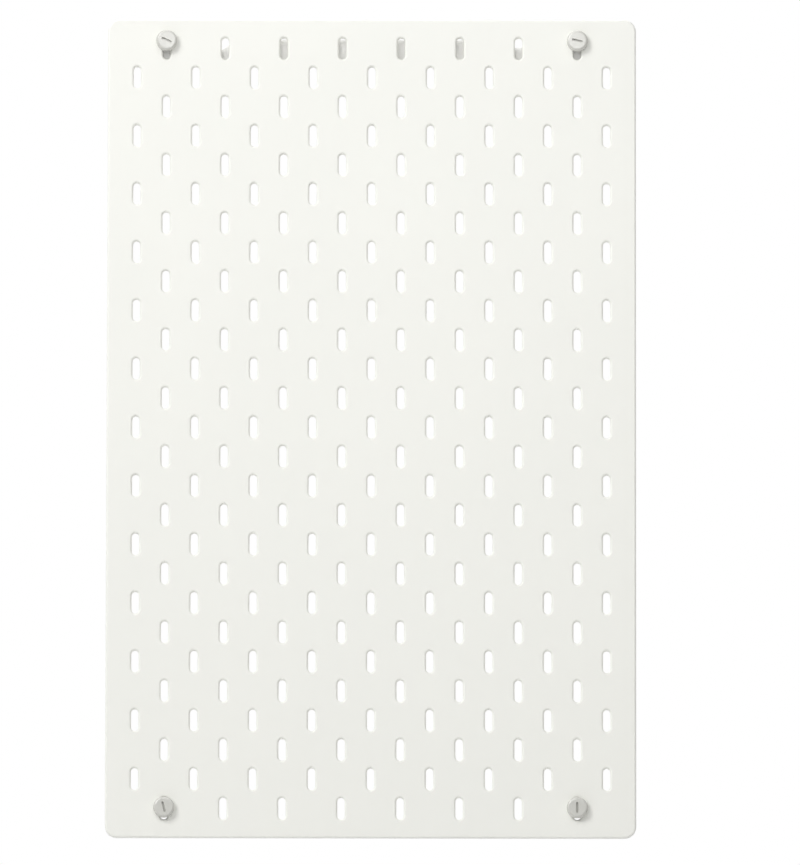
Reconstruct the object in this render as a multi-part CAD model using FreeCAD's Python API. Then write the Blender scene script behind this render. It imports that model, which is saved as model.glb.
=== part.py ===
import FreeCAD, Part
import math
import os

# A slotted pegboard on its wall rail, in millimetres. +X is right, +Z is up and the front faces -Y.
# The wall is the plane Y = 0. The origin lies on it, midway between the rail's two screw sockets.

# Board
board_width = 360.0
board_height = 560.0
board_thickness = 5.0
board_corner_radius = 8.0
board_edge_radius = 1.5

# Slots of the board: upright, in rows that are staggered by half a column
slot_width = 5.0
slot_length = 15.0
column_pitch = 40.0
row_pitch = 20.0
slot_margin = 20.0  # from the board's edges to the centres of the outer slots

# Distance between the board and the wall, kept by the rail and the spacers
stand_off = 14.0

# Screws: a flat round head with a coin groove, and a threaded shank
head_diameter = 14.2
head_height = 5.0
head_edge_radius = 1.8
shank_play = 0.1  # on each side, in a slot
lower_screw_rise = 0.6  # of the lower screws above the middle of their slots
thread_pitch = 2.0
thread_depth = 0.5
thread_crest = 0.4
thread_tail = 0.6  # bare core between the last ridge and the tip's chamfer
tip_chamfer = 0.3
groove_length = 7.3
groove_width = 1.4
groove_depth = 2.0
groove_turns = {"top_left": -25.0, "top_right": -13.0, "bottom_left": -74.0, "bottom_right": 90.0}

# Sockets that take a screw, in the rail and in the spacers
socket_clearance = 0.05
socket_spare_depth = 2.0
socket_floor = 2.0  # closed end of a spacer

# Rail on the wall, open at the back
pad_rise = 5.0  # of the end pads above the sockets' line
rail_rise = 2.2  # of the rail between the pads above the sockets' line
rail_drop = 15.0  # below the sockets' line
rail_end_reach = 10.0  # from a socket outwards
rail_pad_reach = 10.0  # from a socket towards the middle
rail_face_thickness = 2.4
rail_wall = 2.0
rail_top_round = 4.0
rail_corner_radius = 3.0
rail_inner_radius = 1.5
shoulder_slope = 33.0
left_ledge_drop = 7.8
left_ledge_length = 27.2
right_ledge_drop = 5.7
right_ledge_length = 34.0
rib_thickness = 1.5
rib_pitch = 20.0
socket_wall = 2.4

# Holes for the two wall screws, at half the pads' height
wall_hole_inset = 60.0  # from a socket towards the middle
wall_hole_diameter = 4.4
wall_sink_diameter = 8.0
wall_hole_wall = 2.6

# Spacers behind the board's lower corners
spacer_front_diameter = 10.0
spacer_foot_diameter = 8.0
spacer_chamfer = 0.4

# Places that follow from the sizes
board_back = -stand_off
board_front = board_back - board_thickness
shank_radius = slot_width / 2 - shank_play
socket_radius = shank_radius + socket_clearance
screw_bite = stand_off - socket_floor - socket_spare_depth
slot_half_run = (slot_length - slot_width) / 2
first_row_z = -slot_half_run  # the board hangs by the upper ends of its slots
board_top = first_row_z + slot_margin
wide_count = int((board_width - 2 * slot_margin) / column_pitch + 1e-6) + 1
narrow_count = wide_count - 1
row_count = int((board_height - 2 * slot_margin) / row_pitch + 1e-6) + 1
last_narrow_row = (row_count - 1) // 2 * 2
screw_x = (narrow_count - 1) / 2 * column_pitch
lower_screw_z = first_row_z - last_narrow_row * row_pitch + lower_screw_rise
screw_places = {
    "top_left": (-screw_x, 0.0),
    "top_right": (screw_x, 0.0),
    "bottom_left": (-screw_x, lower_screw_z),
    "bottom_right": (screw_x, lower_screw_z),
}

RIGHT = FreeCAD.Vector(1, 0, 0)
BACK = FreeCAD.Vector(0, 1, 0)
ORIGIN = FreeCAD.Vector(0, 0, 0)
OVERSHOOT = 1.0  # by which a cutting shape passes the surface that it cuts


def rounded_face(corners, radii, place):
    """A flat face with round corners. place turns a flat point into a point in space."""
    spots = [FreeCAD.Vector(*corner, 0) for corner in corners]
    arcs = []
    for i, spot in enumerate(spots):
        before = (spots[i - 1] - spot).normalize()
        after = (spots[(i + 1) % len(spots)] - spot).normalize()
        half = before.getAngle(after) / 2
        reach = radii[i] / math.tan(half)
        bulge = radii[i] / math.sin(half) - radii[i]
        middle = (before + after).normalize()
        points = (spot + before * reach, spot + middle * bulge, spot + after * reach)
        arcs.append([place(point) for point in points])
    edges = []
    for i, (start, bulge, end) in enumerate(arcs):
        if radii[i] > 0:
            edges.append(Part.Arc(start, bulge, end).toShape())
        edges.append(Part.makeLine(end, arcs[(i + 1) % len(arcs)][0]))
    return Part.Face(Part.Wire(edges))


def front_view(y):
    """Takes a flat point as (x, z) at depth y."""
    return lambda point: FreeCAD.Vector(point.x, y, point.y)


def side_view(x):
    """Takes a flat point as (y, z) at the place x along the rail."""
    return lambda point: FreeCAD.Vector(x, point.x, point.y)


def rod(radius, x, z, front, back):
    """A round rod from front to back."""
    return Part.makeCylinder(radius, back - front, FreeCAD.Vector(x, front, z), BACK)


def turned(profile):
    """A solid turned about the Y axis from points (radius, y)."""
    points = [FreeCAD.Vector(radius, y, 0) for radius, y in profile]
    return Part.Face(Part.makePolygon(points + points[:1])).revolve(ORIGIN, BACK, 360)


def obround(width, length, front, back):
    """An upright bar with round ends about the Y axis, from front to back."""
    half = width / 2
    run = (length - width) / 2
    bar = Part.makeBox(width, back - front, 2 * run, FreeCAD.Vector(-half, front, -run))
    bar = bar.fuse([rod(half, 0, run, front, back), rod(half, 0, -run, front, back)])
    return bar.removeSplitter()


def frontmost_face(shape):
    return min(shape.Faces, key=lambda face: face.CenterOfMass.y)


def slot_places():
    """The centres (x, z) of all slots. The top row, row 0, is narrow and the next one is wide."""
    places = []
    for row in range(row_count):
        count = narrow_count if row % 2 == 0 else wide_count
        for i in range(count):
            places.append(((i - (count - 1) / 2) * column_pitch, first_row_z - row * row_pitch))
    return places


def slot_space():
    """The space of one slot about the Y axis, with its rounded mouth at the front."""
    width = slot_width + 4 * board_edge_radius
    length = slot_length + 4 * board_edge_radius
    corner = FreeCAD.Vector(-width / 2, board_front, -length / 2)
    block = Part.makeBox(width, board_thickness, length, corner)
    pierced = block.cut(obround(slot_width, slot_length, board_front - OVERSHOOT, board_back + OVERSHOOT))
    mouth = frontmost_face(pierced).Wires[1]
    return block.cut(pierced.makeFillet(board_edge_radius, mouth.Edges))


def make_board():
    side = board_width / 2
    bottom = board_top - board_height
    corners = [(-side, bottom), (side, bottom), (side, board_top), (-side, board_top)]
    face = rounded_face(corners, [board_corner_radius] * 4, front_view(board_front))
    plate = face.extrude(BACK * board_thickness)
    plate = plate.makeFillet(board_edge_radius, frontmost_face(plate).Edges)
    space = slot_space()
    spaces = [space.translated(FreeCAD.Vector(x, 0, z)) for x, z in slot_places()]
    return plate.cut(Part.makeCompound(spaces))


def screw_profile():
    """Half of a screw's outline, with the head's underside at y = 0. The thread is a row of ridges."""
    core = shank_radius - thread_depth
    length = board_thickness + screw_bite
    head = head_diameter / 2
    points = [(0, -head_height), (head, -head_height), (head, 0), (shank_radius, 0)]
    y = board_thickness
    points += [(shank_radius, y), (core, y + thread_depth)]
    y += thread_depth
    flank = (thread_pitch - thread_crest) / 2
    while y + thread_pitch < length - tip_chamfer - thread_tail:
        points += [(shank_radius, y + flank), (shank_radius, y + flank + thread_crest)]
        y += thread_pitch
        points.append((core, y))
    return points + [(core, length - tip_chamfer), (core - tip_chamfer, length), (0, length)]


def make_screw(name):
    screw = turned(screw_profile())
    screw = screw.makeFillet(head_edge_radius, frontmost_face(screw).Edges)
    groove = obround(groove_width, groove_length, -head_height - OVERSHOOT, groove_depth - head_height)
    groove.rotate(ORIGIN, -BACK, groove_turns[name] - 90)
    x, z = screw_places[name]
    return screw.cut(groove).translated(FreeCAD.Vector(x, board_front, z))


def rail_outline():
    """The rail's front view: corners (x, z) from the lower left, anticlockwise, each with its radius."""
    end = screw_x + rail_end_reach
    pad = screw_x - rail_pad_reach
    run = 1 / math.tan(math.radians(shoulder_slope))
    left_foot = left_ledge_length - pad
    right_foot = pad - right_ledge_length
    left_ledge = rail_rise - left_ledge_drop
    right_ledge = rail_rise - right_ledge_drop
    return [
        ((-end, -rail_drop), rail_corner_radius),
        ((end, -rail_drop), rail_corner_radius),
        ((end, pad_rise), rail_corner_radius),
        ((pad, pad_rise), rail_corner_radius),
        ((pad, right_ledge), rail_inner_radius),
        ((right_foot, right_ledge), 0),
        ((right_foot - right_ledge_drop * run, rail_rise), 0),
        ((left_foot + left_ledge_drop * run, rail_rise), 0),
        ((left_foot, left_ledge), 0),
        ((-pad, left_ledge), rail_inner_radius),
        ((-pad, pad_rise), rail_corner_radius),
        ((-end, pad_rise), rail_corner_radius),
    ]


def rail_bar(front, wall):
    """A bar over the rail's length with a round upper front edge, smaller than the rail by wall."""
    end = screw_x + rail_end_reach
    pad = screw_x - rail_pad_reach
    low = wall - rail_drop
    stretches = []
    for left, right, rise in ((-end, -pad, pad_rise), (-pad, pad, rail_rise), (pad, end, pad_rise)):
        high = rise - wall
        corners = [(front, low), (0, low), (0, high), (front, high)]
        face = rounded_face(corners, [0, 0, 0, rail_top_round - wall], side_view(left))
        stretches.append(face.extrude(RIGHT * (right - left)))
    return stretches[0].fuse(stretches[1:]).removeSplitter()


def make_rail():
    corners, radii = zip(*rail_outline())
    outline = rounded_face(corners, radii, front_view(board_back))
    outer = outline.extrude(BACK * stand_off).common(rail_bar(board_back, 0))
    inner = outline.makeOffset2D(-rail_wall).extrude(BACK * stand_off)
    hollow = inner.common(rail_bar(board_back + rail_face_thickness, rail_wall))

    filling = []
    ribs_per_side = int((screw_x - rail_pad_reach) / rib_pitch)
    for i in range(-ribs_per_side, ribs_per_side + 1):
        corner = FreeCAD.Vector(i * rib_pitch - rib_thickness / 2, board_back, -rail_drop)
        filling.append(Part.makeBox(rib_thickness, stand_off, pad_rise + rail_drop, corner))
    holes = []
    wall_hole_z = (pad_rise - rail_drop) / 2
    hole_radius = wall_hole_diameter / 2
    sink_radius = wall_sink_diameter / 2
    for side in (-1, 1):
        x = side * screw_x
        filling.append(rod(socket_radius + socket_wall, x, 0, board_back, 0))
        holes.append(rod(socket_radius, x, 0, board_back - OVERSHOOT, OVERSHOOT))
        x = side * (screw_x - wall_hole_inset)
        filling.append(rod(hole_radius + wall_hole_wall, x, wall_hole_z, board_back, 0))
        mouth = FreeCAD.Vector(x, board_back, wall_hole_z)
        sink = Part.makeCone(sink_radius, hole_radius, sink_radius - hole_radius, mouth, BACK)
        holes.append(rod(hole_radius, x, wall_hole_z, board_back - OVERSHOOT, OVERSHOOT).fuse(sink))
    return outer.cut(hollow.cut(filling)).cut(holes)


def make_spacer(side):
    """A tapered post with a closed foot on the wall. Its socket is open to the board."""
    front = spacer_front_diameter / 2
    foot = spacer_foot_diameter / 2
    profile = [
        (socket_radius, board_back),
        (front - spacer_chamfer, board_back),
        (front, board_back + spacer_chamfer),
        (foot, -spacer_chamfer),
        (foot - spacer_chamfer, 0),
        (0, 0),
        (0, -socket_floor),
        (socket_radius, -socket_floor),
    ]
    return turned(profile).translated(FreeCAD.Vector(side * screw_x, 0, lower_screw_z))


def make_parts():
    parts = {
        "board": make_board(),
        "wall_rail": make_rail(),
        "spacer_left": make_spacer(-1),
        "spacer_right": make_spacer(1),
    }
    for name in screw_places:
        parts["screw_" + name] = make_screw(name)
    return parts


os.makedirs("parts", exist_ok=True)
for part_name, shape in make_parts().items():
    print(part_name, len(shape.Solids), shape.isValid(), round(shape.Volume, 1))
    shape.Solids[0].exportStep("parts/" + part_name + ".step")
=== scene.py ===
"""A white slotted pegboard with its wall rail, spacers and screws, dressed for its portrait.

The pieces are measured in millimetres, which become metres where a mesh is made, and the studio
is measured in metres. +X is right, +Z is up, the front faces -Y and the wall is the plane Y = 0.
"""

import logging
import math
from dataclasses import dataclass, field
from enum import Enum
from typing import Any, Callable, Iterable, Optional, Sequence

import bmesh
import bpy
from mathutils import Matrix, Vector

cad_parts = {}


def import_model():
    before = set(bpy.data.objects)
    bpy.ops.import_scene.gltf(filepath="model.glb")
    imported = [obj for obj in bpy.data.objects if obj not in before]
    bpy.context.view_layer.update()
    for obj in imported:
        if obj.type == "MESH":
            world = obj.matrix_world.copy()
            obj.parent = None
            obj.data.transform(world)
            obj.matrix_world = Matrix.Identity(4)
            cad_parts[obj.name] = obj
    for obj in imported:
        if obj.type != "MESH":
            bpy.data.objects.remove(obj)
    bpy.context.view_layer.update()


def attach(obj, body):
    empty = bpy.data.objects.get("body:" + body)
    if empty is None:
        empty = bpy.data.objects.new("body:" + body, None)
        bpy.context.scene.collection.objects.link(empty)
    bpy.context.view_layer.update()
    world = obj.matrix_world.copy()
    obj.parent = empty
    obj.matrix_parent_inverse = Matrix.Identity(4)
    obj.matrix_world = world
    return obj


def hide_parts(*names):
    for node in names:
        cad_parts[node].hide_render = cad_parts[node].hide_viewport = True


LOG = logging.getLogger("pegboard")
MM = 0.001
TOUCH = 0.02 * MM  # points that are closer are merged, in metres
NEAR = 0.01  # places that are closer count as the same, in millimetres
LONG = 1.0  # an edge that reaches further along an axis runs along it
FACING = 0.9  # the least part along an axis of the normal of a face that looks that way
OVERCUT = 1.0  # how far a cutting tool stands out of what it cuts, in millimetres
Point = tuple[float, float, float]


def near(first: float, second: float) -> bool:
    """Tells whether two places in millimetres are the same."""
    return abs(first - second) < NEAR


def off_axis(co: Vector) -> float:
    """Measures how far a place is from the Y axis."""
    return math.hypot(co.x, co.z)


class Body(Enum):
    """The moving bodies that the pieces ride on."""

    RAIL = "rail"
    PANEL = "panel"
    TOP_LEFT_SCREW = "top_left_screw"
    TOP_RIGHT_SCREW = "top_right_screw"
    BOTTOM_LEFT_SCREW = "bottom_left_screw"
    BOTTOM_RIGHT_SCREW = "bottom_right_screw"
    LEFT_POST = "left_post"
    RIGHT_POST = "right_post"


class Slot(Enum):
    """The record's material slots."""

    BOARD = "painted_board"
    RAIL = "rail_plastic"
    SCREW = "screw_plastic"


class Shaper:
    """Bench tools that shape one mesh in edit mode, as by hand."""

    def __init__(self, name: str) -> None:
        """Names the next piece.

        Args:
            name: the piece's name.
        """
        self.name = name

    @staticmethod
    def clear() -> None:
        """Leaves edit mode and deselects everything."""
        if bpy.context.object and bpy.context.object.mode != "OBJECT":
            bpy.ops.object.mode_set(mode="OBJECT")
        bpy.ops.object.select_all(action="DESELECT")

    @staticmethod
    def take(piece: bpy.types.Object) -> None:
        """Selects one piece alone and makes it the active one.

        Args:
            piece: the object.
        """
        Shaper.clear()
        piece.select_set(True)
        bpy.context.view_layer.objects.active = piece

    def start(self, add: Callable[..., Any], **options: Any) -> bpy.types.Object:
        """Adds a primitive, moves its place into its mesh and opens it in edit mode.

        Args:
            add: the primitive's operator.
            **options: the operator's options, in metres.

        Returns:
            The new object.
        """
        self.clear()
        add(**options)
        piece = bpy.context.object
        piece.name = self.name
        piece.data.name = self.name
        bpy.ops.object.transform_apply(location=True, rotation=True, scale=True)
        bpy.ops.object.mode_set(mode="EDIT")
        bpy.ops.mesh.select_all(action="DESELECT")
        return piece

    def cylinder(
        self, sides: int, radius: float, ends: tuple[float, float], turn: float = 0.0,
        x: float = 0.0, z: float = 0.0,
    ) -> bpy.types.Object:
        """Starts with a cylinder along the Y axis, in millimetres.

        Args:
            sides: the number of its sides.
            radius: its radius.
            ends: the Y of its two ends, the front one first.
            turn: how far it is turned about its axis, in radians.
            x: its axis's X.
            z: its axis's Z.

        Returns:
            The new object.
        """
        front, back = ends
        return self.start(
            bpy.ops.mesh.primitive_cylinder_add, vertices=sides, radius=radius * MM,
            depth=(back - front) * MM, rotation=(math.pi / 2, turn, 0.0),
            location=(x * MM, (front + back) / 2 * MM, z * MM),
        )

    def box(self, low: Point, high: Point) -> bpy.types.Object:
        """Starts with a box.

        Args:
            low: its lowest corner in millimetres.
            high: its highest corner.

        Returns:
            The new object.
        """
        return self.start(
            bpy.ops.mesh.primitive_cube_add, size=1,
            scale=[(end - start) * MM for start, end in zip(low, high)],
            location=[(end + start) / 2 * MM for start, end in zip(low, high)],
        )

    @staticmethod
    def pick_vertices(test: Callable[[Vector], bool]) -> None:
        """Selects the vertices that pass the test.

        Args:
            test: takes a vertex's place in millimetres.
        """
        mesh = bmesh.from_edit_mesh(bpy.context.object.data)
        bpy.ops.mesh.select_mode(type="VERT")
        for vertex in mesh.verts:
            vertex.select_set(test(vertex.co / MM))
        mesh.select_flush_mode()
        bmesh.update_edit_mesh(bpy.context.object.data)

    @staticmethod
    def pick(kind: str, test: Callable[[Any], bool]) -> None:
        """Selects the edges or faces that pass the test.

        Args:
            kind: EDGE or FACE.
            test: takes an edge or a face of the mesh.
        """
        bpy.ops.mesh.select_mode(type=kind)
        bpy.ops.mesh.select_all(action="DESELECT")
        mesh = bmesh.from_edit_mesh(bpy.context.object.data)
        for element in (mesh.edges if kind == "EDGE" else mesh.faces):
            if test(element):
                element.select_set(True)
        bmesh.update_edit_mesh(bpy.context.object.data)

    @staticmethod
    def pick_edges(test: Callable[[Vector, Vector, bool], bool]) -> None:
        """Selects the edges that pass the test.

        Args:
            test: takes an edge's two ends in millimetres and whether the edge is open.
        """
        Shaper.pick(
            "EDGE", lambda edge: test(*(end.co / MM for end in edge.verts), edge.is_boundary)
        )

    @staticmethod
    def pick_faces(test: Callable[[Vector, Vector], bool]) -> None:
        """Selects the faces that pass the test.

        Args:
            test: takes a face's middle in millimetres and its normal.
        """
        Shaper.pick("FACE", lambda face: test(face.calc_center_median() / MM, face.normal))

    @staticmethod
    def extrude(x: float = 0.0, y: float = 0.0, z: float = 0.0) -> None:
        """Extrudes what is selected.

        Args:
            x: the way to the right, in millimetres.
            y: the way back.
            z: the way up.
        """
        move = {"value": (x * MM, y * MM, z * MM)}
        bpy.ops.mesh.extrude_region_move(TRANSFORM_OT_translate=move)

    @staticmethod
    def move(x: float = 0.0, y: float = 0.0, z: float = 0.0) -> None:
        """Moves what is selected by a way in millimetres."""
        bpy.ops.transform.translate(value=(x * MM, y * MM, z * MM))

    @staticmethod
    def bevel(width: float, strips: int) -> None:
        """Rounds the selected edges.

        Args:
            width: the offset in millimetres.
            strips: the number of strips.
        """
        bpy.ops.mesh.bevel(
            offset=width * MM, offset_type="OFFSET", segments=strips, profile=0.5,
            affect="EDGES", clamp_overlap=False,
        )

    @staticmethod
    def weld() -> None:
        """Merges points that coincide and turns all faces outwards."""
        bpy.ops.mesh.select_all(action="SELECT")
        bpy.ops.mesh.remove_doubles(threshold=TOUCH)
        bpy.ops.mesh.select_all(action="SELECT")
        bpy.ops.mesh.normals_make_consistent(inside=False)

    @staticmethod
    def apply(piece: bpy.types.Object, kind: str, **settings: Any) -> None:
        """Adds a modifier to a piece and applies it.

        Args:
            piece: the object.
            kind: the modifier's type.
            **settings: the modifier's settings.
        """
        Shaper.take(piece)
        modifier = piece.modifiers.new(kind.lower(), kind)
        for key, value in settings.items():
            setattr(modifier, key, value)
        bpy.ops.object.modifier_apply(modifier=modifier.name)

    @staticmethod
    def copy(piece: bpy.types.Object, name: str) -> bpy.types.Object:
        """Copies a piece with a mesh of its own.

        Args:
            piece: the object to copy.
            name: the copy's name.

        Returns:
            The copy.
        """
        twin = piece.copy()
        twin.data = piece.data.copy()
        twin.name = name
        twin.data.name = name
        bpy.context.scene.collection.objects.link(twin)
        return twin

    @staticmethod
    def place(piece: bpy.types.Object, x: float = 0.0, y: float = 0.0, z: float = 0.0) -> None:
        """Moves a piece's mesh by a way in millimetres and leaves its object at the origin."""
        Shaper.take(piece)
        piece.location = (x * MM, y * MM, z * MM)
        bpy.ops.object.transform_apply(location=True, rotation=True, scale=True)

    @staticmethod
    def join(pieces: Sequence[bpy.types.Object]) -> bpy.types.Object:
        """Joins pieces into the first one.

        Args:
            pieces: the objects.

        Returns:
            The joined object.
        """
        Shaper.clear()
        for piece in pieces:
            piece.select_set(True)
        bpy.context.view_layer.objects.active = pieces[0]
        bpy.ops.object.join()
        return pieces[0]

    @staticmethod
    def combine(piece: bpy.types.Object, tool: bpy.types.Object, operation: str) -> None:
        """Adds a tool's shape to a piece or cuts it away, and removes the tool.

        Args:
            piece: the object that is changed.
            tool: the other shape.
            operation: UNION or DIFFERENCE.
        """
        Shaper.apply(piece, "BOOLEAN", operation=operation, solver="EXACT", object=tool)
        bpy.data.objects.remove(tool, do_unlink=True)

    @staticmethod
    def smooth(piece: bpy.types.Object, degrees: float = 40.0) -> None:
        """Shades a piece smooth up to an angle, with flats that stay flat beside roundings.

        Args:
            piece: the object.
            degrees: edges sharper than this stay sharp.
        """
        Shaper.take(piece)
        bpy.ops.object.shade_smooth_by_angle(angle=math.radians(degrees))
        Shaper.apply(piece, "WEIGHTED_NORMAL", keep_sharp=True)


class Nodes:
    """Builds a node tree with short calls."""

    def __init__(self, tree: bpy.types.NodeTree) -> None:
        """Takes the tree that is to be filled.

        Args:
            tree: a material's tree or a group.
        """
        self.tree = tree

    def add(
        self, kind: str, inputs: Optional[dict[Any, Any]] = None, **settings: Any
    ) -> bpy.types.Node:
        """Adds a node.

        Args:
            kind: the node's type.
            inputs: socket names or numbers with values or sockets to link.
            **settings: the node's own settings.

        Returns:
            The node.
        """
        node = self.tree.nodes.new(kind)
        for key, value in settings.items():
            setattr(node, key, value)
        for key, value in (inputs or {}).items():
            if isinstance(value, bpy.types.NodeSocket):
                self.tree.links.new(value, node.inputs[key])
            else:
                node.inputs[key].default_value = value
        return node

    def math(self, operation: str, first: Any, second: Any) -> bpy.types.NodeSocket:
        """Adds a Math node.

        Args:
            operation: what it does.
            first: a value or socket.
            second: a value or socket.

        Returns:
            The result.
        """
        return self.add("ShaderNodeMath", {0: first, 1: second}, operation=operation).outputs[0]


class SharedEffects:
    """Node groups that several finishes use."""

    def __init__(self) -> None:
        """Builds the groups once."""
        self.grain = self._grain()
        self.drift = self._drift()

    @staticmethod
    def _group(
        name: str, inputs: Iterable[tuple[str, str, Any]], outputs: Iterable[tuple[str, str]]
    ) -> tuple[bpy.types.NodeTree, Nodes, bpy.types.Node, bpy.types.Node]:
        """Makes an empty group with named sockets.

        Args:
            name: the group's name.
            inputs: name, socket type and default of each input.
            outputs: name and socket type of each output.

        Returns:
            The group, its tools, its input node and its output node.
        """
        tree = bpy.data.node_groups.new(name, "ShaderNodeTree")
        for label, kind, default in inputs:
            socket = tree.interface.new_socket(name=label, in_out="INPUT", socket_type=kind)
            socket.default_value = default
        for label, kind in outputs:
            tree.interface.new_socket(name=label, in_out="OUTPUT", socket_type=kind)
        tools = Nodes(tree)
        return tree, tools, tools.add("NodeGroupInput"), tools.add("NodeGroupOutput")

    def _grain(self) -> bpy.types.NodeTree:
        """Fine relief of a sprayed or moulded skin, as a height.

        Returns:
            The group.
        """
        tree, tools, given, result = self._group(
            "SkinRelief",
            [("Coarse Scale", "NodeSocketFloat", 700.0), ("Fine Scale", "NodeSocketFloat", 3000.0),
             ("Fine Share", "NodeSocketFloat", 0.4)],
            [("Height", "NodeSocketFloat")],
        )
        place = tools.add("ShaderNodeTexCoord").outputs["Object"]
        coarse = tools.add(
            "ShaderNodeTexNoise", {"Vector": place, "Scale": given.outputs[0], "Detail": 2.0}
        )
        fine = tools.add(
            "ShaderNodeTexNoise", {"Vector": place, "Scale": given.outputs[1], "Detail": 3.0}
        )
        share = tools.math("MULTIPLY", fine.outputs[0], given.outputs[2])
        height = tools.math("ADD", coarse.outputs[0], share)
        tree.links.new(height, result.inputs[0])
        return tree

    def _drift(self) -> bpy.types.NodeTree:
        """Slow drift of a colour over a surface, with a mask for the roughness.

        Returns:
            The group.
        """
        grey = (0.8, 0.8, 0.8, 1.0)
        tree, tools, given, result = self._group(
            "ToneDrift",
            [("Tone", "NodeSocketColor", grey), ("Other Tone", "NodeSocketColor", grey),
             ("Scale", "NodeSocketFloat", 12.0)],
            [("Color", "NodeSocketColor"), ("Mask", "NodeSocketFloat")],
        )
        place = tools.add("ShaderNodeTexCoord").outputs["Object"]
        cloud = tools.add(
            "ShaderNodeTexNoise", {"Vector": place, "Scale": given.outputs[2], "Detail": 4.0}
        )
        low, high = 0.3, 0.7
        ramp = tools.add("ShaderNodeMapRange", {0: cloud.outputs[0], 1: low, 2: high})
        blend = tools.add(
            "ShaderNodeMix", {0: ramp.outputs[0], 6: given.outputs[0], 7: given.outputs[1]},
            data_type="RGBA",
        )
        tree.links.new(blend.outputs[2], result.inputs[0])
        tree.links.new(ramp.outputs[0], result.inputs[1])
        return tree


@dataclass(frozen=True)
class Finish:
    """A pale skin: two near tones that drift, a roughness that drifts along, and a fine relief.

    Light spreads depth_mm inside the skin, if that isn't 0.
    """

    name: str
    tone: tuple[float, float, float]
    other_tone: tuple[float, float, float]
    drift_scale: float
    roughness: tuple[float, float]
    specular: float
    coarse_scale: float
    fine_scale: float
    relief_mm: float
    depth_mm: float = 0.0

    def build(self, effects: SharedEffects) -> bpy.types.Material:
        """Makes the material.

        Args:
            effects: the shared node groups.

        Returns:
            The material.
        """
        material = bpy.data.materials.new(self.name)
        material.use_nodes = True
        material.node_tree.nodes.clear()
        tools = Nodes(material.node_tree)
        drift = tools.add(
            "ShaderNodeGroup",
            {0: (*self.tone, 1.0), 1: (*self.other_tone, 1.0), 2: self.drift_scale},
            node_tree=effects.drift,
        )
        grain = tools.add(
            "ShaderNodeGroup", {0: self.coarse_scale, 1: self.fine_scale}, node_tree=effects.grain
        )
        low, high = self.roughness
        rough = tools.add("ShaderNodeMapRange", {0: drift.outputs[1], 3: low, 4: high})
        bump = tools.add(
            "ShaderNodeBump", {"Distance": self.relief_mm * MM, "Height": grain.outputs[0]}
        )
        shader = tools.add(
            "ShaderNodeBsdfPrincipled",
            {"Base Color": drift.outputs[0], "Roughness": rough.outputs[0],
             "Normal": bump.outputs[0], "Specular IOR Level": self.specular},
        )
        if self.depth_mm:
            shader.inputs["Subsurface Weight"].default_value = 1.0
            shader.inputs["Subsurface Radius"].default_value = (1.0, 1.0, 1.0)
            shader.inputs["Subsurface Scale"].default_value = self.depth_mm * MM
        tools.add("ShaderNodeOutputMaterial", {"Surface": shader.outputs[0]})
        return material


PAINT = Finish(
    "SprayedWhitePaint", tone=(0.9, 0.9, 0.85), other_tone=(0.89, 0.891, 0.843), drift_scale=9.0,
    roughness=(0.4, 0.5), specular=0.4, coarse_scale=900.0, fine_scale=3600.0, relief_mm=0.012,
)
RAIL_SKIN = Finish(
    "MouldedWhiteRail", tone=(0.84, 0.834, 0.797), other_tone=(0.83, 0.824, 0.787),
    drift_scale=25.0, roughness=(0.45, 0.55), specular=0.4, coarse_scale=1500.0,
    fine_scale=5200.0, relief_mm=0.01, depth_mm=14.0,
)
SCREW_SKIN = Finish(
    "MouldedGreyWhite", tone=(0.6, 0.598, 0.556), other_tone=(0.58, 0.578, 0.538),
    drift_scale=60.0, roughness=(0.23, 0.26), specular=1.0, coarse_scale=1800.0,
    fine_scale=6000.0, relief_mm=0.006,
)


@dataclass
class Dresser:
    """Gives finished pieces their material and body, and hides their CAD node."""

    effects: SharedEffects = field(default_factory=SharedEffects)
    materials: dict[str, bpy.types.Material] = field(default_factory=dict)

    def dress(
        self, piece: bpy.types.Object, finish: Finish, body: Body, node: str
    ) -> None:
        """Puts a piece into service.

        Args:
            piece: the finished object.
            finish: its look.
            body: the body that it rides on.
            node: the CAD node that it stands for.
        """
        Shaper.clear()
        if finish.name not in self.materials:
            self.materials[finish.name] = finish.build(self.effects)
        piece.data.materials.clear()
        piece.data.materials.append(self.materials[finish.name])
        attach(piece, body.value)
        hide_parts(node)
        LOG.info("%s: %d faces", piece.name, len(piece.data.polygons))


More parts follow.
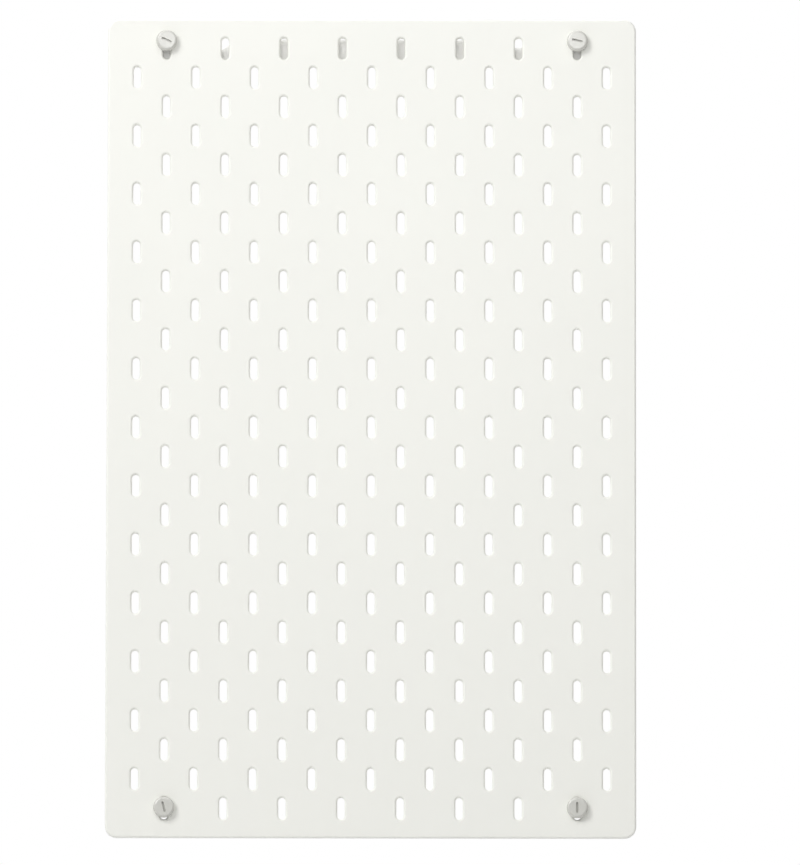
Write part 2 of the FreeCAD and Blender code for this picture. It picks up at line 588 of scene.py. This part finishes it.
@dataclass
class Board:
    """The slotted board: a quarter of one slot's field is modelled, mirrored and repeated."""

    width: float = 360.0
    height: float = 560.0
    thickness: float = 5.0
    top: float = 15.0
    front: float = -19.0
    corner_radius: float = 8.0
    edge_radius: float = 1.5
    back_chamfer: float = 0.25
    slot_width: float = 5.0
    slot_length: float = 15.0
    column_pitch: float = 40.0
    row_pitch: float = 20.0
    narrow: tuple[int, int] = (8, 14)
    wide: tuple[int, int] = (9, 13)
    mouth_points: int = 12
    bend_steps: int = 4
    corner_strips: int = 6
    edge_strips: int = 3

    @property
    def back(self) -> float:
        """The depth of the board's back."""
        return self.front + self.thickness

    @property
    def bottom(self) -> float:
        """The height of the board's lower edge."""
        return self.top - self.height

    @property
    def run(self) -> float:
        """Half the length of a slot's straight sides."""
        return (self.slot_length - self.slot_width) / 2

    def _lip(self) -> bpy.types.Object:
        """Models a quarter of the slot: its rounded mouth, wall and back edge.

        Returns:
            The open mesh, in edit mode.
        """
        half = self.slot_width / 2
        centre_x, centre_y = half + self.edge_radius, self.front + self.edge_radius
        run, chamfer = self.run, self.back_chamfer
        shaper = Shaper("board")
        piece = shaper.start(
            bpy.ops.mesh.primitive_circle_add, vertices=self.mouth_points,
            radius=self.edge_radius * MM, location=(centre_x * MM, centre_y * MM, run * MM),
        )
        shaper.pick_vertices(lambda co: co.x > centre_x + NEAR or co.y > centre_y + NEAR)
        bpy.ops.mesh.delete(type="VERT")
        shaper.pick_vertices(lambda co: near(co.x, half))
        shaper.extrude(y=self.thickness - self.edge_radius - chamfer)
        shaper.extrude(x=chamfer, y=chamfer)
        bpy.ops.mesh.select_all(action="SELECT")
        bpy.ops.mesh.spin(
            steps=self.bend_steps, angle=math.radians(90), center=(0, 0, run * MM), axis=(0, -1, 0)
        )
        # The spin runs downwards, so the bend is turned up.
        bpy.ops.mesh.select_all(action="SELECT")
        bpy.ops.transform.resize(value=(1, 1, -1), center_override=(0, 0, run * MM))
        shaper.pick_edges(
            lambda a, b, open_: near(a.z, run) and near(b.z, run) and min(a.x, b.x) > half - NEAR
        )
        shaper.extrude(z=-run)
        return piece

    def _field(self, depth: float, lip: float) -> None:
        """Closes the flat quarter field round the lip at one depth, in edit mode.

        Args:
            depth: the plane's Y.
            lip: the half width of the slot at that depth.
        """
        side = self.column_pitch / 4
        Shaper.pick_vertices(lambda co: near(co.y, depth) and near(co.z, 0.0))
        Shaper.extrude(x=side - lip)
        Shaper.extrude(z=self.row_pitch)
        Shaper.extrude(x=-side)
        Shaper.extrude(z=self.run + lip - self.row_pitch)
        bpy.ops.mesh.select_all(action="SELECT")
        bpy.ops.mesh.remove_doubles(threshold=TOUCH)
        Shaper.pick_edges(lambda a, b, open_: near(a.y, depth) and near(b.y, depth))
        bpy.ops.mesh.edge_face_add()

    def _cell(self) -> bpy.types.Object:
        """Models one slot with its field.

        Returns:
            The object, in object mode.
        """
        piece = self._lip()
        half = self.slot_width / 2
        self._field(self.front, half + self.edge_radius)
        self._field(self.back, half + self.back_chamfer)
        Shaper.apply(piece, "MIRROR", use_axis=(True, False, True), merge_threshold=TOUCH)
        return piece

    def _columns(
        self, cell: bpy.types.Object, counts: tuple[int, int], top_slot: float
    ) -> bpy.types.Object:
        """Repeats the cell to every other column.

        Args:
            cell: one slot with its field.
            counts: the number of columns and of slots in each.
            top_slot: the height of the uppermost slot's centre.

        Returns:
            The grid.
        """
        across, down = counts
        grid = Shaper.copy(cell, "columns")
        Shaper.place(grid, x=-(across - 1) / 2 * self.column_pitch, z=top_slot)
        aside, below = (self.column_pitch * MM, 0, 0), (0, 0, -2 * self.row_pitch * MM)
        for count, step in ((across, aside), (down, below)):
            Shaper.apply(
                grid, "ARRAY", count=count, use_relative_offset=False, use_constant_offset=True,
                constant_offset_displace=step, use_merge_vertices=True, merge_threshold=TOUCH,
            )
        return grid

    def build(self) -> bpy.types.Object:
        """Models the whole board.

        Returns:
            The finished object.
        """
        cell = self._cell()
        first = self.top - self.row_pitch
        narrow = self._columns(cell, self.narrow, first)
        wide = self._columns(cell, self.wide, first - self.row_pitch)
        bpy.data.objects.remove(cell, do_unlink=True)
        self._margins(wide)
        board = Shaper.join([narrow, wide])
        board.name = "slotted_board"
        bpy.ops.object.mode_set(mode="EDIT")
        bpy.ops.mesh.select_all(action="SELECT")
        bpy.ops.mesh.remove_doubles(threshold=TOUCH)
        self._rim()
        Shaper.weld()
        Shaper.smooth(board)
        return board

    def _margins(self, wide: bpy.types.Object) -> None:
        """Runs the wide columns on to the board's top and bottom.

        Args:
            wide: the grid of wide rows.
        """
        Shaper.take(wide)
        bpy.ops.object.mode_set(mode="EDIT")
        pitch = self.row_pitch
        for z, way in ((self.top - pitch, pitch), (self.bottom + pitch, -pitch)):
            Shaper.pick_edges(lambda a, b, open_: open_ and near(a.z, z) and near(b.z, z))
            Shaper.extrude(z=way)
        bpy.ops.object.mode_set(mode="OBJECT")

    def _rim(self) -> None:
        """Adds the side margins and closes and rounds the board's outline, in edit mode."""
        half = self.width / 2
        inner = self.wide[0] * self.column_pitch / 2 - self.column_pitch / 4
        for x, way in ((-inner, inner - half), (inner, half - inner)):
            Shaper.pick_edges(lambda a, b, open_: open_ and near(a.x, x) and near(b.x, x))
            Shaper.extrude(x=way)
        Shaper.pick_edges(lambda a, b, open_: open_)
        bpy.ops.mesh.bridge_edge_loops()
        Shaper.pick_edges(
            lambda a, b, open_: abs(a.y - b.y) > LONG and near(abs(a.x), half) and near(a.x, b.x)
            and near(a.z, b.z) and (near(a.z, self.top) or near(a.z, self.bottom))
        )
        Shaper.bevel(self.corner_radius, self.corner_strips)
        self._round_outline(self.front, self.edge_radius, self.edge_strips)
        self._round_outline(self.back, self.back_chamfer, strips=1)

    def _round_outline(self, depth: float, width: float, strips: int) -> None:
        """Rounds the outline's edge at one depth, in edit mode.

        Args:
            depth: the plane's Y.
            width: the rounding's size.
            strips: its number of strips.
        """

        def at_outline(edge: bmesh.types.BMEdge) -> bool:
            """Tells whether an edge is where the board's face meets its rim at this depth."""
            ends = [vertex.co / MM for vertex in edge.verts]
            if len(edge.link_faces) != 2 or not all(near(co.y, depth) for co in ends):
                return False
            rim, face = sorted(abs(face.normal.y) for face in edge.link_faces)
            inset = min(
                min(self.width / 2 - abs(co.x), self.top - co.z, co.z - self.bottom) for co in ends
            )
            return rim < 1 - FACING and face > FACING and inset < self.corner_radius

        Shaper.pick("EDGE", at_outline)
        Shaper.bevel(width, strips)


@dataclass
class Screw:
    """A flat round plastic screw with a coin groove and a coarse thread.

    The ridge says where the thread starts to rise, has its crest and is down again in one pitch.
    """

    head_radius: float = 7.1
    head_height: float = 5.0
    rim_radius: float = 1.8
    under_rim: float = 0.25
    shank_radius: float = 2.4
    plain_length: float = 5.0
    overlap: float = 1.0
    length: float = 15.0
    pitch: float = 2.0
    thread_depth: float = 0.5
    ridge: tuple[float, float, float, float] = (0.35, 0.8, 1.2, 1.65)
    groove_length: float = 7.3
    groove_width: float = 1.4
    groove_depth: float = 2.0
    groove_flare: float = 0.12
    seat: float = -19.0
    head_sides: int = 64
    rim_strips: int = 6
    under_strips: int = 2
    shank_sides: int = 32
    groove_sides: int = 16
    thread_steps: int = 24

    def _head(self) -> bpy.types.Object:
        """Models the head.

        Returns:
            The object.
        """
        shaper = Shaper("screw_head")
        piece = shaper.cylinder(self.head_sides, self.head_radius, (-self.head_height, 0.0))
        rims = (
            (-self.head_height, self.rim_radius, self.rim_strips),
            (0.0, self.under_rim, self.under_strips),
        )
        for y, width, strips in rims:
            shaper.pick_edges(lambda a, b, open_: near(a.y, y) and near(b.y, y))
            shaper.bevel(width, strips)
        shaper.clear()
        return piece

    def _groove(self, degrees: float) -> bpy.types.Object:
        """Models the space of the groove, with a flared mouth.

        Args:
            degrees: the groove's turn from level.

        Returns:
            The tool.
        """
        half, long_half = self.groove_width / 2, self.groove_length / 2
        front, flare = -self.head_height, self.groove_flare
        shaper = Shaper("groove")
        piece = shaper.cylinder(
            self.groove_sides, half, (front, front + self.groove_depth),
            turn=math.pi / self.groove_sides,
        )
        for side in (-1, 1):
            shaper.pick_vertices(lambda co: co.x * side > NEAR)
            shaper.move(x=side * (long_half - half))
        shaper.pick_faces(lambda middle, normal: normal.y < -FACING)
        shaper.move(y=flare)
        shaper.extrude(y=-flare)
        bpy.ops.transform.resize(
            value=((long_half + flare) / long_half, 1, (half + flare) / half),
            center_override=(0, front * MM, 0),
        )
        shaper.extrude(y=-OVERCUT)
        shaper.weld()
        bpy.ops.transform.rotate(
            value=math.radians(degrees), orient_axis="Y", center_override=(0, 0, 0)
        )
        shaper.clear()
        return piece

    def _thread(self) -> bpy.types.Object:
        """Models the threaded part as one helical skin, cut off square at both ends.

        Returns:
            The object.
        """
        outer, core = self.shank_radius, self.shank_radius - self.thread_depth
        rise, crest, fall, foot = self.ridge
        profile = (
            (core, 0.0), (core, rise), (outer, crest), (outer, fall), (core, foot),
            (core, self.pitch),
        )
        shaper = Shaper("thread")
        piece = shaper.start(bpy.ops.mesh.primitive_circle_add, vertices=3, radius=core * MM)
        bpy.ops.mesh.select_all(action="SELECT")
        bpy.ops.mesh.delete(type="VERT")
        bpy.ops.object.mode_set(mode="OBJECT")
        start = self.plain_length - self.pitch
        points = [(radius * MM, (start + along) * MM, 0.0) for radius, along in profile]
        piece.data.from_pydata(points, [(i, i + 1) for i in range(len(points) - 1)], [])
        turns = math.ceil((self.length - start) / self.pitch) + 1
        Shaper.apply(
            piece, "SCREW", axis="Y", angle=2 * math.pi, screw_offset=self.pitch * MM,
            iterations=turns, steps=self.thread_steps, render_steps=self.thread_steps,
            use_merge_vertices=True, merge_threshold=TOUCH,
        )
        bpy.ops.object.mode_set(mode="EDIT")
        for y, way in ((self.plain_length - NEAR, -1), (self.length, 1)):
            bpy.ops.mesh.select_all(action="SELECT")
            bpy.ops.mesh.bisect(
                plane_co=(0, y * MM, 0), plane_no=(0, way, 0), use_fill=True, clear_outer=True
            )
        shaper.weld()
        shaper.clear()
        return piece

    def build(self, name: str, degrees: float, x: float, z: float) -> bpy.types.Object:
        """Models one screw in its place.

        Args:
            name: the piece's name.
            degrees: the groove's turn from level.
            x: the axis's X.
            z: the axis's Z.

        Returns:
            The finished object.
        """
        head = self._head()
        Shaper.combine(head, self._groove(degrees), "DIFFERENCE")
        shaper = Shaper("plain_shank")
        plain = shaper.cylinder(
            self.shank_sides, self.shank_radius, (-self.overlap, self.plain_length)
        )
        shaper.clear()
        screw = Shaper.join([head, plain, self._thread()])
        screw.name = name
        screw.data.name = name
        Shaper.place(screw, x=x, y=self.seat, z=z)
        Shaper.smooth(screw, degrees=38.0)
        return screw


@dataclass
class Spacer:
    """A slim tapered post between the board and the wall, with a socket for its screw."""

    front: float = -14.0
    front_radius: float = 5.0
    foot_radius: float = 4.0
    socket_radius: float = 2.45
    socket_depth: float = 12.0
    socket_chamfer: float = 0.2
    rounding: float = 0.4
    sides: int = 48
    strips: int = 3

    def build(self, name: str, x: float, z: float) -> bpy.types.Object:
        """Models one spacer in its place.

        Args:
            name: the piece's name.
            x: the axis's X.
            z: the axis's Z.

        Returns:
            The finished object.
        """
        shaper = Shaper(name)
        piece = shaper.cylinder(self.sides, self.front_radius, (self.front, 0.0))
        shaper.pick_faces(lambda middle, normal: normal.y > FACING)
        taper = self.foot_radius / self.front_radius
        bpy.ops.transform.resize(value=(taper, 1, taper), center_override=(0, 0, 0))
        shaper.pick_faces(lambda middle, normal: normal.y < -FACING)
        bpy.ops.mesh.inset(thickness=(self.front_radius - self.socket_radius) * MM)
        shaper.extrude(y=self.socket_depth)
        rim = self.foot_radius - NEAR
        shaper.pick_edges(
            lambda a, b, open_: near(a.y, b.y) and (near(a.y, 0.0) or near(a.y, self.front))
            and near(off_axis(a), off_axis(b)) and off_axis(a) > rim
        )
        shaper.bevel(self.rounding, self.strips)
        shaper.pick_edges(
            lambda a, b, open_: near(a.y, self.front) and near(b.y, self.front)
            and max(off_axis(a), off_axis(b)) < rim
        )
        shaper.bevel(self.socket_chamfer, strips=1)
        shaper.clear()
        Shaper.place(piece, x=x, z=z)
        Shaper.smooth(piece, degrees=38.0)
        return piece


@dataclass
class Rail:
    """The moulded wall rail: a ribbed shell that is open to the wall.

    It is modelled with some spare depth behind the wall's plane, which is trimmed off last.
    """

    depth: float = 14.0
    low: float = -15.0
    high: float = 5.0
    middle: float = 2.2
    reach: float = 150.0
    block: float = 20.0
    left_ledge: tuple[float, float] = (-102.8, -5.6)
    right_ledge: tuple[float, float] = (96.0, -3.5)
    slope: float = 33.0
    top_round: float = 4.0
    corner_radius: float = 3.0
    face: float = 2.4
    wall: float = 2.0
    slope_wall: float = 3.2
    pocket_round: float = 2.0
    slope_pocket_round: float = 0.8
    pocket_corner: float = 0.5
    rib: float = 1.5
    rib_pitch: float = 20.0
    socket_x: float = 140.0
    socket_radius: float = 2.45
    socket_mouth: float = 2.75
    socket_boss: float = 4.85
    hole_x: float = 80.0
    hole_z: float = -5.0
    hole_radius: float = 2.2
    sink_radius: float = 4.0
    hole_boss: float = 4.8
    boss_inset: float = 0.5
    spare: float = 1.0
    boss_sides: int = 40
    bore_sides: int = 32

    @property
    def inner(self) -> float:
        """The distance from the rail's middle to its end blocks."""
        return self.reach - self.block

    @property
    def left_shoulder(self) -> float:
        """The place where the left ramp reaches the middle's top."""
        x, z = self.left_ledge
        return x + (self.middle - z) / math.tan(math.radians(self.slope))

    @property
    def right_shoulder(self) -> float:
        """The place where the right ramp leaves the middle's top."""
        x, z = self.right_ledge
        return x - (self.middle - z) / math.tan(math.radians(self.slope))

    def _shell(self) -> bpy.types.Object:
        """Sweeps the rail's side view from its left end to its right, stepping its top.

        Returns:
            The solid bar, in edit mode.
        """
        shaper = Shaper("moulded_rail")
        piece = shaper.box(
            (-self.reach, -self.depth, self.low), (-self.inner, self.spare, self.high)
        )
        x, z = -self.inner, self.left_ledge[1]
        bpy.ops.mesh.select_all(action="SELECT")
        bpy.ops.mesh.bisect(plane_co=(0, 0, z * MM), plane_no=(0, 0, 1))
        stations = (
            self.left_ledge, (self.left_shoulder, self.middle), (self.right_shoulder, self.middle),
            self.right_ledge, (self.inner, self.right_ledge[1]),
        )
        for next_x, next_z in stations:
            shaper.pick_faces(
                lambda middle, normal: normal.x > FACING and near(middle.x, x) and middle.z < z
            )
            shaper.extrude(x=next_x - x)
            shaper.pick_vertices(lambda co: near(co.x, next_x) and near(co.z, z))
            shaper.move(z=next_z - z)
            x, z = next_x, next_z
        shaper.pick_faces(lambda middle, normal: normal.x > FACING and near(middle.x, x))
        shaper.extrude(x=self.reach - x)
        shaper.pick_faces(lambda middle, normal: normal.z > FACING and middle.x > self.inner)
        shaper.extrude(z=self.high - z)
        shaper.weld()
        return piece

    def _soften(self) -> None:
        """Rounds the bar's corners and its upper front edges, in edit mode."""

        def corner(co: Vector) -> bool:
            """Tells whether a place is at an outer corner of the front view."""
            if near(abs(co.x), self.reach):
                return near(co.z, self.high) or near(co.z, self.low)
            return near(abs(co.x), self.inner) and near(co.z, self.high)

        Shaper.pick_edges(lambda a, b, open_: abs(a.y - b.y) > LONG and corner(a) and corner(b))
        Shaper.bevel(self.corner_radius, strips=4)
        front = -self.depth
        for top in (self.high, self.middle):
            Shaper.pick_edges(
                lambda a, b, open_: near(a.y, front) and near(b.y, front) and near(a.z, top)
                and near(b.z, top) and abs(a.x - b.x) > LONG
            )
            Shaper.bevel(self.top_round, strips=6)

    def build(self) -> bpy.types.Object:
        """Models the rail.

        Returns:
            The finished object.
        """
        piece = self._shell()
        self._soften()
        Shaper.clear()
        bosses, bores = [], []
        for side in (-1, 1):
            socket, hole = side * self.socket_x, side * self.hole_x
            bosses.append(self._boss(socket, 0.0, self.socket_boss))
            bosses.append(self._boss(hole, self.hole_z, self.hole_boss))
            bores.append(self._bore(socket, 0.0, self.socket_radius, self.socket_mouth))
            bores.append(self._bore(hole, self.hole_z, self.hole_radius, self.sink_radius))
        Shaper.combine(piece, Shaper.join(self._pockets()), "DIFFERENCE")
        Shaper.combine(piece, Shaper.join(bosses), "UNION")
        Shaper.combine(piece, Shaper.join(bores), "DIFFERENCE")
        Shaper.combine(piece, self._trimmer(), "DIFFERENCE")
        Shaper.smooth(piece, degrees=35.0)
        return piece

    def _top_at(self, x: float) -> float:
        """The rail's height at a place.

        Args:
            x: the place along the rail.

        Returns:
            The top's Z.
        """
        if abs(x) > self.inner:
            return self.high
        edge, ledge = self.left_ledge if x < 0.0 else self.right_ledge
        up_ramp = max(0.0, x - edge if x < 0.0 else edge - x)
        return min(self.middle, ledge + up_ramp * math.tan(math.radians(self.slope)))

    def _pockets(self) -> list[bpy.types.Object]:
        """Models the spaces between the ribs.

        Returns:
            One tool for each pocket.
        """
        ribs = int(self.inner / self.rib_pitch)
        borders = [-self.inner, *(i * self.rib_pitch for i in range(-ribs, ribs + 1)), self.inner]
        half = self.rib / 2
        spans = [
            (self.wall - self.reach, -self.inner - self.wall),
            *((left + half, right - half) for left, right in zip(borders, borders[1:])),
            (self.inner + self.wall, self.reach - self.wall),
        ]
        return [self._pocket(left, right) for left, right in spans]

    def _pocket(self, left: float, right: float) -> bpy.types.Object:
        """Models the space between two ribs, with a roof that follows the rail's top.

        Args:
            left: where the space starts.
            right: where it ends.

        Returns:
            The tool.
        """
        floor, out = self.face - self.depth, 2 * self.spare
        ceiling = self.high - self.wall
        shaper = Shaper("pocket")
        tool = shaper.box((left, floor, self.low + self.wall), (right, out, ceiling))
        flats = (self.high, self.middle, self.left_ledge[1], self.right_ledge[1])
        for x in (left, right):
            top = self._top_at(x)
            roof = self.wall if top in flats else self.slope_wall
            shaper.pick_vertices(lambda co: near(co.x, x) and near(co.z, ceiling))
            shaper.move(z=top - roof - ceiling)
        shaper.pick_edges(
            lambda a, b, open_: near(a.y, floor) and near(b.y, floor) and abs(a.x - b.x) > LONG
            and min(a.z, b.z) > self.low + 2 * self.wall
        )
        lower_top = min(self._top_at(left), self._top_at(right))
        full = lower_top in (self.high, self.middle)
        shaper.bevel(self.pocket_round if full else self.slope_pocket_round, strips=3)
        shaper.pick_edges(lambda a, b, open_: abs(a.y - b.y) > self.depth / 2)
        shaper.bevel(self.pocket_corner, strips=2)
        shaper.clear()
        return tool

    def _boss(self, x: float, z: float, radius: float) -> bpy.types.Object:
        """Models a boss between the face and the wall.

        Args:
            x: the axis's X.
            z: the axis's Z.
            radius: its radius.

        Returns:
            The tool.
        """
        shaper = Shaper("boss")
        ends = (self.boss_inset - self.depth, self.spare / 2)
        tool = shaper.cylinder(self.boss_sides, radius, ends, x=x, z=z)
        shaper.clear()
        return tool

    def _trimmer(self) -> bpy.types.Object:
        """Models the space behind the wall's plane, which takes the spare depth off.

        Returns:
            The tool.
        """
        shaper = Shaper("trimmer")
        far = 1.5 * self.reach
        tool = shaper.box((-far, 0.0, -self.reach / 2), (far, 3 * self.spare, self.reach / 2))
        shaper.clear()
        return tool

    def _bore(self, x: float, z: float, radius: float, mouth: float) -> bpy.types.Object:
        """Models the space of a bore with a sunk mouth.

        Args:
            x: the axis's X.
            z: the axis's Z.
            radius: the bore's radius.
            mouth: the radius at the front face.

        Returns:
            The tool.
        """
        shaper = Shaper("bore")
        ends = (-self.depth, 2 * self.spare)
        tool = shaper.cylinder(self.bore_sides, radius, ends, x=x, z=z)
        shaper.pick_faces(lambda middle, normal: normal.y < -FACING)
        shaper.move(y=mouth - radius)
        shaper.extrude(y=radius - mouth)
        grow = mouth / radius
        bpy.ops.transform.resize(value=(grow, 1, grow), center_override=(x * MM, 0, z * MM))
        shaper.extrude(y=-OVERCUT)
        shaper.clear()
        return tool


@dataclass
class Studio:
    """The floor, the light and the camera.

    Each lamp has a name, a place, a diameter and a power. The camera turns by yaw, pitch and roll.
    """

    floor_z: float = -1.65
    floor_size: float = 12.0
    floor_tone: float = 0.86
    floor_roughness: float = 0.9
    fill: float = 0.1
    backdrop: float = 1.0
    horizon: float = 0.1
    aim: Point = (0.0, -0.019, -0.265)
    lamps: tuple[tuple[str, Point, float, float], ...] = (
        ("BigSoftbox", (-2.4, -3.2, 1.9), 2.4, 110.5),
        ("OverheadLamp", (-0.3, -1.0, 1.3), 1.2, 4.2),
        ("SideLamp", (0.95, -1.7, 0.95), 1.4, 5.6),
        ("TopRowLamp", (-0.02, -1.3, 0.19), 0.45, 2.15),
        ("BackLamp", (-0.2, 0.15, 1.7), 1.2, 8.0),
    )
    camera_place: Point = (0.029110, -8.329336, -1.231449)
    camera_turn: Point = (-0.066, 6.6087, 0.0985)
    focal_px: float = 12310.0
    frame_height_px: int = 865
    sensor_mm: float = 24.0
    far: float = 100.0

    def _world(self) -> None:
        """Shines faintly from the front and fully from behind, and looks white to the camera."""
        world = bpy.data.worlds.new("PlainStudio")
        bpy.context.scene.world = world
        world.use_nodes = True
        world.node_tree.nodes.clear()
        tools = Nodes(world.node_tree)
        place = tools.add("ShaderNodeTexCoord").outputs["Generated"]
        way = tools.add("ShaderNodeSeparateXYZ", {0: place})
        around = tools.add(
            "ShaderNodeMapRange",
            {0: way.outputs["Y"], 1: -self.horizon, 2: self.horizon, 3: self.fill,
             4: self.backdrop},
        )
        path = tools.add("ShaderNodeLightPath")
        seen = tools.math("MAXIMUM", path.outputs["Is Camera Ray"], path.outputs["Is Glossy Ray"])
        seen = tools.math("MAXIMUM", seen, path.outputs["Is Transmission Ray"])
        strength = tools.add("ShaderNodeMix", {0: seen, 2: around.outputs[0], 3: 1.0})
        shine = tools.add(
            "ShaderNodeBackground", {"Color": (1, 1, 1, 1), "Strength": strength.outputs[0]}
        )
        tools.add("ShaderNodeOutputWorld", {"Surface": shine.outputs[0]})

    def _lamp(self, name: str, place: Point, size: float, watts: float) -> None:
        """Hangs a round soft lamp that points at the board's middle.

        Args:
            name: the lamp's name.
            place: where it hangs, in metres.
            size: its diameter in metres.
            watts: its power.
        """
        lamp = bpy.data.lights.new(name, "AREA")
        lamp.shape = "DISK"
        lamp.size = size
        lamp.energy = watts
        holder = bpy.data.objects.new(name, lamp)
        bpy.context.scene.collection.objects.link(holder)
        holder.location = place
        aim = Vector(self.aim) - holder.location
        holder.rotation_euler = aim.to_track_quat("-Z", "Y").to_euler()

    def _floor(self) -> None:
        """Lays the pale floor well below the board."""
        Shaper.clear()
        bpy.ops.mesh.primitive_plane_add(size=self.floor_size, location=(0, 0, self.floor_z))
        floor = bpy.context.object
        floor.name = "studio_floor"
        material = bpy.data.materials.new("PaleFloor")
        material.use_nodes = True
        shader = material.node_tree.nodes["Principled BSDF"]
        tone = self.floor_tone
        shader.inputs["Base Color"].default_value = (tone, tone, tone, 1.0)
        shader.inputs["Roughness"].default_value = self.floor_roughness
        floor.data.materials.append(material)

    def _camera(self) -> None:
        """Sets up the camera at the portrait's place."""
        yaw, pitch, roll = (math.radians(angle) for angle in self.camera_turn)
        forward = Vector(
            (math.sin(yaw) * math.cos(pitch), math.cos(yaw) * math.cos(pitch), math.sin(pitch))
        )
        level = Vector((math.cos(yaw), -math.sin(yaw), 0.0))
        upright = level.cross(forward)
        right = level * math.cos(roll) + upright * math.sin(roll)
        up = upright * math.cos(roll) - level * math.sin(roll)
        camera = bpy.data.cameras.new("PortraitCamera")
        holder = bpy.data.objects.new("PortraitCamera", camera)
        bpy.context.scene.collection.objects.link(holder)
        turn = Matrix((right, up, -forward)).transposed().to_4x4()
        holder.matrix_world = Matrix.Translation(self.camera_place) @ turn
        camera.sensor_fit = "VERTICAL"
        camera.sensor_height = self.sensor_mm
        camera.lens = self.focal_px * self.sensor_mm / self.frame_height_px
        camera.clip_end = self.far
        bpy.context.scene.camera = holder

    def build(self) -> None:
        """Sets up the whole studio."""
        self._world()
        for lamp in self.lamps:
            self._lamp(*lamp)
        self._floor()
        self._camera()
        bpy.context.scene.view_settings.view_transform = "Standard"


def main() -> None:
    """Builds all pieces in order."""
    logging.basicConfig(level=logging.INFO, format="%(name)s: %(message)s")
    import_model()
    dresser = Dresser()
    dresser.dress(Board().build(), PAINT, Body.PANEL, "board")
    dresser.dress(Rail().build(), RAIL_SKIN, Body.RAIL, "wall_rail")
    side, low = 140.0, -524.4
    screws = (
        ("top_left", -25.0, -side, 0.0, Body.TOP_LEFT_SCREW),
        ("top_right", -13.0, side, 0.0, Body.TOP_RIGHT_SCREW),
        ("bottom_left", -74.0, -side, low, Body.BOTTOM_LEFT_SCREW),
        ("bottom_right", 90.0, side, low, Body.BOTTOM_RIGHT_SCREW),
    )
    for name, degrees, x, z, body in screws:
        screw = Screw().build("coin_screw_" + name, degrees, x, z)
        dresser.dress(screw, SCREW_SKIN, body, "screw_" + name)
    for name, x, body in (("left", -side, Body.LEFT_POST), ("right", side, Body.RIGHT_POST)):
        post = Spacer().build("post_" + name, x, low)
        dresser.dress(post, SCREW_SKIN, body, "spacer_" + name)
    Studio().build()


if __name__ == "__main__":
    main()
